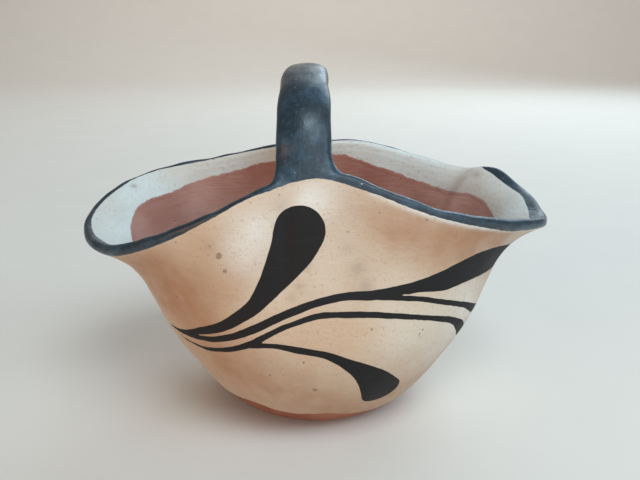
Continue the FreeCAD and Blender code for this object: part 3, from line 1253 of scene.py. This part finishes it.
@dataclass
class Wall:
    """The bottom pat, the wall's coils, and the coats of slip on them."""

    body: ClayBody
    columns: int = 280
    slip_columns: int = 560
    slip_rows: int = 150
    # How far a coat stands proud, as a share of the wall, and the levels it fades over at the rim.
    coat: float = 0.035
    fade: float = 0.12
    # The lowest level of each coat's rows, and how far the inner band runs on past its edge in mm.
    coat_low: float = 0.97
    band_low: float = 4.6
    band_tail: float = 1.2
    # The back of the inner band as a share of the wall, how far the top coil lies back behind it,
    # and the levels over which it does.
    band_back: float = 0.96
    set_back: float = 0.07
    set_back_levels: tuple = (6.84, 6.96)

    def bottom(self, clay: bpy.types.Material) -> None:
        """Builds the pat with its flat foot and flat floor.

        Args:
            clay: The finish.
        """
        turns = even_turns(self.columns)
        outside = Ply.of(lambda t, v: self.body.at(t, v, 0.0), turns, np.linspace(0.0, 1.0, 12))
        inside = Ply.of(lambda t, v: self.body.at(t, v, 1.0), turns, np.linspace(0.0, 1.0, 12))
        foot = self.disc(outside.points[0], -1.0)
        floor = self.disc(inside.points[0], 1.0)
        rows = Ply(np.concatenate([foot.points, outside.points[1:]]),
                   np.concatenate([foot.normals, outside.normals[1:]]))
        rows.values["foot_face"] = np.ones(rows.points.shape[:2])
        back = inside.flipped()
        under = Ply(np.concatenate([back.points[:-1], floor.points[::-1]]),
                    np.concatenate([back.normals[:-1], floor.normals[::-1]]))
        poles = (foot.points[0].mean(0), floor.points[0].mean(0))
        Piece("bottom_pat", [rows, under], poles).dress(clay, Slot.RED_CLAY, "base_pat")

    def disc(self, edge: np.ndarray, side: float) -> Ply:
        """Rings from near the middle of a flat disc out to its edge.

        Args:
            edge: Points round its edge.
            side: 1 if it faces up, -1 if it faces down.

        Returns:
            The rings.
        """
        middle = edge.mean(0)
        shares = np.linspace(0.04, 1.0, 14)[:, None, None]
        points = middle + (edge[None] - middle) * shares
        normals = np.zeros(points.shape)
        normals[..., 2] = side
        return Ply(points, normals)

    def coils(self, clay: bpy.types.Material) -> None:
        """Builds each course of coiled clay, from over the bottom to the rim.

        Args:
            clay: The finish.
        """
        turns = even_turns(self.columns)
        share = self.body.slip_share
        for k in range(1, int(self.body.top)):
            outside = Ply.of(
                lambda t, v: self.body.at(t, v, share), turns, np.linspace(k, k + 1.0, 6))
            inside = Ply.of(
                lambda t, v: self.body.at(
                    t, v, 1.0 - self.set_back * ease(v, *self.set_back_levels)),
                turns, np.linspace(k, k + 1.0, 14 if k < 6 else 40))
            piece = Piece(f"coil_{k}", [outside, inside.flipped()])
            piece.dress(clay, Slot.RED_CLAY, f"wall_coil_{k}")

    def outer_coat(self, slip: bpy.types.Material, leaves: PaintedLeaves) -> None:
        """Builds the outside coat of slip, which carries the painted strokes.

        Args:
            slip: The finish.
            leaves: The strokes.
        """
        body = self.body
        turns = even_turns(self.slip_columns)
        levels = np.linspace(self.coat_low, body.top, self.slip_rows)
        rows = levels[:, None].repeat(len(turns), 1)
        edge = self.foot_edge(turns)

        def face(turn: np.ndarray, level: np.ndarray) -> np.ndarray:
            """The coat's outer face, stepped up from the clay at its lower edge.

            Args:
                turn: Share of a full turn, for each point.
                level: Level up the wall, for each point.

            Returns:
                The points, one row each.
            """
            line = np.interp(turn % 1.0, np.append(turns, 1.0), np.append(edge, edge[0]))
            proud = ease(level - line, -0.015, 0.025)
            proud = proud * (1.0 - ease(level, body.top - self.fade, body.top))
            return body.at(turn, level, -self.coat * proud)

        outside = Ply.of(face, turns, rows)
        below = arc_below(face, turns, rows, body.top)
        line = arc_below(face, turns, edge[None, :], body.top)
        direction = body.direction_of(turns)
        outside.values["paint_mm"] = below + round_table(PAINT_OUTSIDE, direction)
        flat = outside.points.reshape(-1, 3)
        # Patches of stain with painted shade in the dents, of painted highlight, and of painted
        # warm shade.
        for name, spots in (("stain", STAINS_AND_DENT_SHADE), ("thick", PAINTED_HIGHLIGHTS), ("blush", WARM_SHADE_PATCHES)):
            outside.values[name] = body.patches(flat, spots, 0.0).reshape(rows.shape)
        outside.values["edge_mm"] = line - below
        outside.values["spot_mm"] = body.from_spots(flat, SPOTS).reshape(rows.shape)
        outside.values["stroke_mm"] = leaves.distance(flat).reshape(rows.shape)
        outside.values["foot_face"] = np.ones(rows.shape)
        # Rows stand closer in the flare, or the back of the coat would cut through its face.
        behind = np.concatenate(
            [np.linspace(self.coat_low, 4.9, 8), np.linspace(5.0, body.top, 18)])
        inside = Ply.of(lambda t, v: body.at(t, v, body.slip_share), turns, behind)
        piece = Piece("outer_coat", [outside, inside.flipped()])
        piece.dress(slip, Slot.CREAM_SLIP, "outer_slip")

    def foot_edge(self, turns: np.ndarray) -> np.ndarray:
        """Level of the coat's lower edge round the foot, where the brush stopped.

        Args:
            turns: Shares of a full turn.

        Returns:
            One level for each turn.
        """
        wobble = HandMarks(31, 5.0, 18.0, 25.0).at(self.ring(turns, 33.0))
        return round_table(FOOT_EDGE, self.body.direction_of(turns)) + wobble

    def inner_band(self, slip: bpy.types.Material) -> None:
        """Builds the band of slip inside the rim, with its hand-wiped lower edge.

        Args:
            slip: The finish.
        """
        body = self.body
        turns = even_turns(self.slip_columns)
        levels = np.linspace(self.band_low, body.top, 60)
        grid = levels[:, None].repeat(len(turns), 1)
        below = arc_below(lambda t, v: body.at(t, v, 1.0), turns, grid, body.top)
        height = self.band_height(turns)
        lowest = np.array([np.interp(-h - self.band_tail, -below[:, i], levels)
                           for i, h in enumerate(height)])
        rows = lowest + (body.top - lowest) * np.linspace(0.0, 1.0, 30)[:, None]

        def face(turn: np.ndarray, level: np.ndarray) -> np.ndarray:
            """The band's face, a little proud of the clay."""
            proud = 1.0 - ease(level, body.top - self.fade, body.top)
            return body.at(turn, level, 1.0 + self.coat * proud)

        inside = Ply.of(face, turns, rows)
        depth = arc_below(face, turns, rows, body.top)
        inside.values["paint_mm"] = depth - round_table(PAINT_INSIDE, body.direction_of(turns))
        flat = inside.points.reshape(-1, 3)
        # Smudges with painted shade on the spout's inner wall, and painted warm shade inside the
        # right spout.
        for name, spots in (("stain", SMUDGES_AND_SHADE), ("blush", WARM_SHADE_INSIDE)):
            inside.values[name] = body.patches(flat, spots, 1.0).reshape(rows.shape)
        inside.values["edge_mm"] = height[None, :] - depth
        inside.values["inner_face"] = np.ones(rows.shape)
        behind = Ply.of(lambda t, v: body.at(t, v, self.band_back), turns, rows[::4])
        piece = Piece("inner_band", [behind, inside.flipped()])
        piece.dress(slip, Slot.CREAM_SLIP, "inner_rim_slip")

    def band_height(self, turns: np.ndarray) -> np.ndarray:
        """Height of the inner band in millimetres, a little uneven where a finger wiped it.

        Args:
            turns: Shares of a full turn.

        Returns:
            One height for each turn.
        """
        wobble = HandMarks(41, 6.0, 16.0, 0.16).at(self.ring(turns, 60.0)) / MM
        return round_table(BAND_DEPTH, self.body.direction_of(turns)) + wobble

    def ring(self, turns: np.ndarray, radius: float) -> np.ndarray:
        """A level ring of points in the turns' directions.

        Args:
            turns: Shares of a full turn.
            radius: Its radius in millimetres.

        Returns:
            The points in metres, one row each.
        """
        angle = np.radians(self.body.direction_of(turns))
        return np.stack([np.cos(angle), np.sin(angle), angle * 0.0], 1) * radius * MM


@dataclass
class RimCoil:
    """The coil that finishes the rim, rounded over and painted black."""

    body: ClayBody
    columns: int = 560
    rows: int = 28
    # How far inside the slip's edge the lip counts as, in mm, and how much of the painted warm
    # shade it takes.
    from_edge: float = 5.0
    blush: float = 0.3

    def build(self, paint: bpy.types.Material) -> None:
        """Builds the lip over the wall's top edge.

        Args:
            paint: The finish.
        """
        turns = even_turns(self.columns)
        laps = np.linspace(0.0, 1.0, self.rows)
        lip = Ply.of(self.body.over_lip, turns, laps)
        length = np.linalg.norm(np.diff(lip.points, axis=0), axis=2) / MM
        from_outside = np.concatenate([np.zeros((1, len(turns))), np.cumsum(length, 0)])
        from_inside = from_outside[-1:] - from_outside
        direction = self.body.direction_of(turns)
        lip.values["paint_mm"] = np.maximum(
            round_table(PAINT_OUTSIDE, direction) - from_outside,
            -round_table(PAINT_INSIDE, direction) - from_inside)
        lip.values["edge_mm"] = np.full(from_outside.shape, self.from_edge)
        # The lip's inner half takes the inner slip's painted cool light.
        lip.values["inner_face"] = ease(from_outside / from_outside[-1:], 0.3, 0.7)
        flat = lip.points.reshape(-1, 3)
        # The lip's outer half takes a share of the painted warm shade, and the painted highlight
        # line along its edge.
        for name, spots, share in (("blush", WARM_SHADE_PATCHES, self.blush), ("thick", PAINTED_HIGHLIGHTS, 1.0)):
            cover = self.body.patches(flat, spots, 0.0).reshape(from_outside.shape)
            lip.values[name] = cover * share * (1.0 - lip.values["inner_face"])
        seat = Ply.of(lambda t, d: self.body.at(t, np.full(t.shape, self.body.top), d), turns,
                      np.linspace(0.99, 0.01, 4))
        Piece("rim_lip", [lip, seat]).dress(paint, Slot.BLACK_PAINT, "rim_coil")


@dataclass(frozen=True)
class Landing:
    """Where a worked joint meets the rim, in degrees: its middle and how far it spreads.

    The spread may be more, or less, on the right.
    """

    centre: float
    spread: float
    more_right: float


LANDINGS = {End.FRONT: Landing(264.7, 10.5, 5.5), End.BACK: Landing(95.0, 10.5, -0.5)}


@dataclass
class StrapHandle:
    """The flat strap over the mouth, and the worked joints that carry it on the rim."""

    body: ClayBody
    middle: float = -3.5
    front: float = -42.0
    back: float = 37.5
    foot: float = 83.0
    top: float = 113.4
    thick: float = 8.0
    half_width: float = 6.9
    taper: float = 1.1
    # Worked joint: height over the strap's foot, rows, the pull of its curve at each end and how
    # far its edge tucks under, in mm, and how far it reaches over the lip's two sides.
    joint_height: float = 9.0
    joint_rows: int = 30
    joint_leave: float = 7.0
    joint_arrive: float = 6.5
    joint_tuck: float = 1.2
    lap_outside: float = 0.56
    lap_inside: float = 0.85
    arch_roundness: float = 0.85
    section_roundness: float = 0.8
    rows: int = 21
    columns: int = 16
    crowding: float = 0.12
    around: int = 96
    marks: HandMarks = field(default_factory=lambda: HandMarks(53, 9.0, 24.0, 0.13))

    def __post_init__(self) -> None:
        """Builds the strap's surface from its sections."""
        shares = np.linspace(0.0, 1.0, self.rows)
        eased = shares - self.crowding * np.sin(2.0 * math.pi * shares)
        sections = np.stack([self.section(math.pi * x) for x in eased], 1)
        self.net = Net(sections * MM)

    def arch(self, turn: float) -> np.ndarray:
        """Middle of the strap at a turn along the arch, 0 at the front foot, pi at the back.

        Args:
            turn: The turn along the arch.

        Returns:
            One point, in millimetres.
        """
        middle = (self.front + self.back) / 2.0
        half = (self.back - self.front - self.thick) / 2.0
        rise = self.top - self.thick / 2.0 - self.foot
        y = middle - half * float(signed_power(np.cos(turn), self.arch_roundness))
        z = self.foot + rise * max(0.0, math.sin(turn)) ** self.arch_roundness
        return np.array([self.middle, y, z])

    def section(self, turn: float) -> np.ndarray:
        """Control points round the strap's section at a turn along the arch.

        Args:
            turn: The turn along the arch.

        Returns:
            The control points, in millimetres.
        """
        step = 0.01
        along = self.arch(min(math.pi, turn + step)) - self.arch(max(0.0, turn - step))
        if turn <= 0.0 or turn >= math.pi:
            along = np.array([0.0, 0.0, 1.0 if turn <= 0.0 else -1.0])
        out = -unit(np.cross(along, (1.0, 0.0, 0.0)))
        angle = np.arange(self.columns) * 2.0 * math.pi / self.columns
        half_width = self.half_width + self.taper * abs(math.cos(turn))
        side = signed_power(np.cos(angle), self.section_roundness) * half_width
        rise = signed_power(np.sin(angle), self.section_roundness) * self.thick / 2.0
        across = np.array([1.0, 0.0, 0.0])
        return self.arch(turn) + side[:, None] * across + rise[:, None] * out

    def skin(self, turn: np.ndarray, row: np.ndarray) -> np.ndarray:
        """Points on the strap, with the marks of the fingers that shaped it.

        Args:
            turn: Share of the way round the section, for each point.
            row: Row along the strap, for each point.

        Returns:
            The points, one row each.
        """
        points = self.net.at(turn, row)
        core = self.net.at(turn + 0.5, row)
        return points + unit(points - core) * self.marks.at(points)[:, None]

    def joint_row(self, end: End) -> float:
        """The row of the strap at which a foot's worked joint begins.

        Args:
            end: Which foot.

        Returns:
            The row.
        """
        rows = np.linspace(0.0, self.net.top, 801)
        height = self.net.at(np.full(rows.shape, 0.25), rows)[:, 2] / MM
        near = rows < self.net.top / 2.0 if end is End.FRONT else rows > self.net.top / 2.0
        gap = np.abs(height - self.foot - self.joint_height) + np.where(near, 0.0, 1e3)
        return float(rows[np.argmin(gap)])

    def build(self, paint: bpy.types.Material) -> None:
        """Builds the strap and its two joints.

        Args:
            paint: The finish.
        """
        turns = even_turns(self.around)
        start, end = self.joint_row(End.FRONT), self.joint_row(End.BACK)
        strap = Ply.of(self.skin, turns, np.linspace(start, end, 150)).flipped()
        poles = (strap.points[0].mean(0), strap.points[-1].mean(0))
        Piece("strap", [strap], poles).dress(paint, Slot.BLACK_PAINT, "handle_strap")
        for side in End:
            self.joint(side, paint)

    def joint(self, end: End, paint: bpy.types.Material) -> None:
        """Builds the clay worked over one foot, from the strap's section out onto the rim.

        Args:
            end: Which foot.
            paint: The finish.
        """
        turns = even_turns(self.around)
        row = self.joint_row(end)
        down = float(end.value)
        angle = 2.0 * math.pi * turns
        place = LANDINGS[end]
        to_right = ease(np.cos(angle), -0.2, 0.2)
        swing = -down * (place.spread + place.more_right * to_right) * np.cos(angle)
        outward = np.sin(angle)
        lap = 0.5 - np.where(outward > 0.0, self.lap_outside, self.lap_inside) * outward

        def landing(reach: float) -> np.ndarray:
            """Ring on the rim, at a share of the way from the joint's middle."""
            direction = place.centre + swing * reach
            return self.body.across(self.body.turn_of(direction), 0.5 + (lap - 0.5) * reach)

        start = self.skin(turns, np.full(turns.shape, row))
        before = self.skin(turns, np.full(turns.shape, row - down * 0.02))
        leave = unit(start - before) * self.joint_leave * MM
        end_ring = landing(1.0)
        arrive = unit(landing(1.04) - landing(0.96)) * self.joint_arrive * MM
        t = np.linspace(0.0, 1.0, self.joint_rows)[:, None, None]
        rise = 3.0 * t**2 - 2.0 * t**3
        points = (start * (1.0 - rise) + end_ring * rise
                  + leave * (t**3 - 2.0 * t**2 + t) + arrive * (t**3 - t**2))
        tuck = end_ring + (landing(0.9) - end_ring) * 0.5 - (0.0, 0.0, self.joint_tuck * MM)
        points = np.concatenate([points, tuck[None]])
        along = np.gradient(points, axis=0)
        around = np.roll(points, -1, 1) - np.roll(points, 1, 1)
        normals = unit(np.cross(around, along))
        from_middle = points - points.mean(axis=1, keepdims=True)
        if (normals * from_middle).sum() < 0.0:
            points, normals = points[:, ::-1], -normals[:, ::-1]
        ply = Ply(points, normals)
        under = self.body.across(self.body.turn_of(np.array([place.centre])), np.array([0.5]))[0]
        poles = (start.mean(0), under - (0.0, 0.0, 3.0 * MM))
        side = end.name.lower()
        piece = Piece(f"worked_joint_{side}", [ply], poles)
        piece.dress(paint, Slot.BLACK_PAINT, f"handle_root_{side}")


@dataclass
class Studio:
    """The plain pale floor, the soft lights and the camera."""

    eye: tuple = (1.0, -243.0, 127.0)
    pitch: float = 16.6
    lens: float = 42.19

    def build(self) -> None:
        """Sets everything up."""
        self.floor()
        self.light("front_window", (0.3, -1.15, 0.4), 0.8, 3.6, (0.72, 0.87, 1.0))
        self.light("skylight", (0.3, -0.65, 1.0), 0.6, 7.5, (0.74, 0.90, 1.0))
        self.light("side_window", (0.9, -0.4, 0.65), 0.45, 3.2, (0.66, 0.86, 1.0))
        self.light("back_sky", (0.45, 0.85, 0.7), 0.8, 6.0, (0.66, 0.86, 1.0))
        self.light("warm_fill", (-0.65, -0.7, 0.06), 0.6, 4.6, (1.0, 0.54, 0.26))
        self.light("warm_side", (0.8, -0.5, 0.06), 0.5, 0.8, (1.0, 0.56, 0.30))
        self.light("backdrop_lamp", (0.0, 0.95, 1.5), 0.9, 12.0, (1.0, 0.98, 0.95),
                   (0.0, 2.1, 0.7))
        self.camera()
        world = bpy.data.worlds.new("studio_air")
        world.use_nodes = True
        world.node_tree.nodes["Background"].inputs["Color"].default_value = (1.0, 0.95, 0.9, 1.0)
        world.node_tree.nodes["Background"].inputs["Strength"].default_value = 0.22
        bpy.context.scene.world = world
        bpy.context.scene.view_settings.view_transform = "Standard"

    def floor(self) -> None:
        """A pale sweep: flat under the basket, rising far behind it."""
        start, radius, steps = 1.2, 0.9, 16
        profile = [(-2.5, 0.0), (start, 0.0)]
        for k in range(1, steps + 1):
            angle = math.pi / 2.0 * k / steps
            profile.append((start + radius * math.sin(angle), radius * (1.0 - math.cos(angle))))
        profile.append((start + radius, 3.0))
        verts = [(x, y, z) for y, z in profile for x in (-3.5, 3.5)]
        faces = [(2 * k, 2 * k + 1, 2 * k + 3, 2 * k + 2) for k in range(len(profile) - 1)]
        mesh = bpy.data.meshes.new("floor_sweep")
        mesh.from_pydata(verts, [], faces)
        mesh.polygons.foreach_set("use_smooth", [True] * len(faces))
        sheet = Sheet("pale_paper")
        grain = sheet.noise(40.0, 2.0)
        colour = sheet.blend(grain, tint(0.86, 0.84, 0.81), tint(0.88, 0.86, 0.83))
        mesh.materials.append(sheet.finish(colour, 0.85, sheet.bump(sheet.noise(1.0), 0.01)))
        floor = bpy.data.objects.new("floor_sweep", mesh)
        bpy.context.scene.collection.objects.link(floor)

    def light(self, name: str, place: tuple, size: float, power: float, colour: tuple,
              aim: tuple = (0.0, 0.0, 0.06)) -> None:
        """A soft square light.

        Args:
            name: The light's name.
            place: Where it stands, in metres.
            size: Its side, in metres.
            power: Its power, in watts.
            colour: Its colour.
            aim: The point that it faces, the basket's middle if none is given.
        """
        data = bpy.data.lights.new(name, "AREA")
        data.size = size
        data.energy = power
        data.color = colour
        lamp = bpy.data.objects.new(name, data)
        lamp.location = place
        lamp.rotation_euler = (Vector(aim) - Vector(place)).to_track_quat("-Z", "Y").to_euler()
        bpy.context.scene.collection.objects.link(lamp)

    def camera(self) -> None:
        """A camera a hand's reach in front of the basket, looking a little down."""
        data = bpy.data.cameras.new("camera")
        data.lens = self.lens
        data.clip_start = 0.01
        data.clip_end = 20.0
        camera = bpy.data.objects.new("camera", data)
        camera.location = [c * MM for c in self.eye]
        camera.rotation_euler = (math.radians(90.0 - self.pitch), 0.0, 0.0)
        bpy.context.scene.collection.objects.link(camera)
        bpy.context.scene.camera = camera


def main() -> None:
    """Builds the basket piece by piece, then the studio, and logs each piece's face count."""
    logging.basicConfig(level=logging.INFO, format="%(name)s: %(message)s")
    body = ClayBody()
    clay = RedClay().build("red_clay")
    slip = CreamSlip()
    paint = BlackPaint().build()
    wall = Wall(body)
    wall.bottom(clay)
    wall.coils(clay)
    wall.outer_coat(slip.build("cream_slip_painted", True), PaintedLeaves(body))
    inner = CreamSlip(speck=tint(0.50, 0.37, 0.32)).build("cream_slip_plain", False)
    wall.inner_band(inner)
    RimCoil(body).build(inner)
    StrapHandle(body).build(paint)
    Studio().build()


if __name__ == "__main__":
    main()
